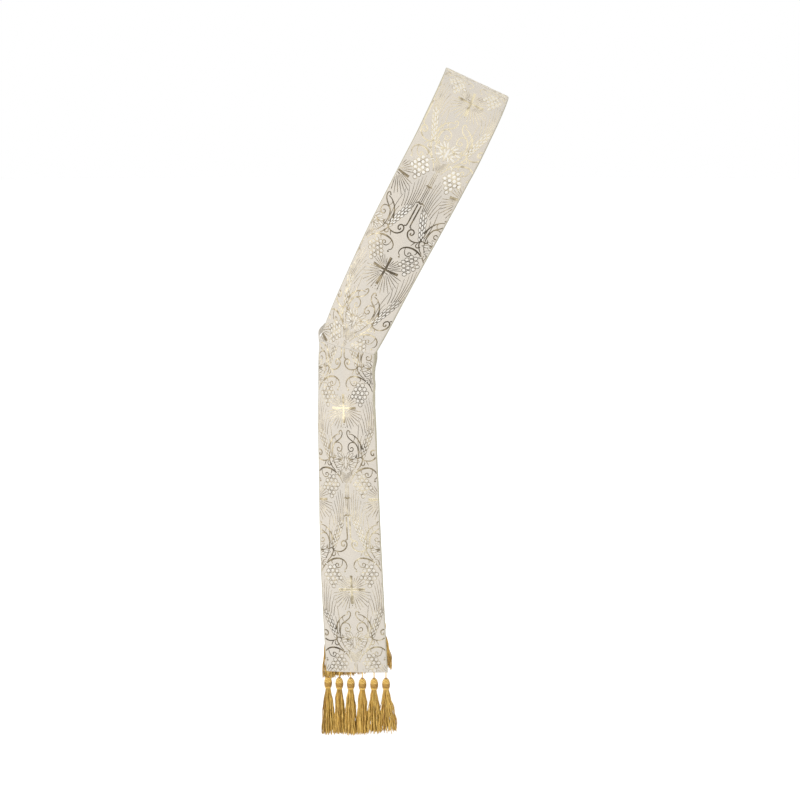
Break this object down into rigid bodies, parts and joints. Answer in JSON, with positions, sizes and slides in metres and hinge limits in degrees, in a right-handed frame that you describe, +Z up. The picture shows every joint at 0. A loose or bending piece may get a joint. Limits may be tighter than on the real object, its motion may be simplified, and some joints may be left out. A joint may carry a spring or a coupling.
{
  "type": "deacon stole",
  "caption": "Long brocade band worn from the left shoulder across the body to the right hip, seamed there, with hanging tails, a joining tab and tasselled hems; hollow where the body goes.",
  "frame": {"origin": "under the middle of the shoulder seam, on the band's inner face, where the wearer's left shoulder carries the stole", "axes": "+X is the wearer's left, +Y is behind the wearer, so the front faces -Y, and +Z is up"},
  "size_m": [0.3669, 0.3287, 1.2687],
  "materials": {
    "brocade": "cream satin ground with a woven pattern in metallic gold thread",
    "gold_yarn": "lustrous golden yellow rayon yarn"
  },
  "bodies": {
    "root": {"front_shoulder_panel": "brocade", "front_tail_panel": "brocade", "back_shoulder_panel": "brocade", "back_tail_panel": "brocade", "side_tab": "brocade", "front_tassel_1": "gold_yarn", "front_tassel_2": "gold_yarn", "front_tassel_3": "gold_yarn", "front_tassel_4": "gold_yarn", "front_tassel_5": "gold_yarn", "front_tassel_6": "gold_yarn", "back_tassel_1": "gold_yarn", "back_tassel_2": "gold_yarn", "back_tassel_3": "gold_yarn", "back_tassel_4": "gold_yarn", "back_tassel_5": "gold_yarn", "back_tassel_6": "gold_yarn"}
  },
  "joints": []
}
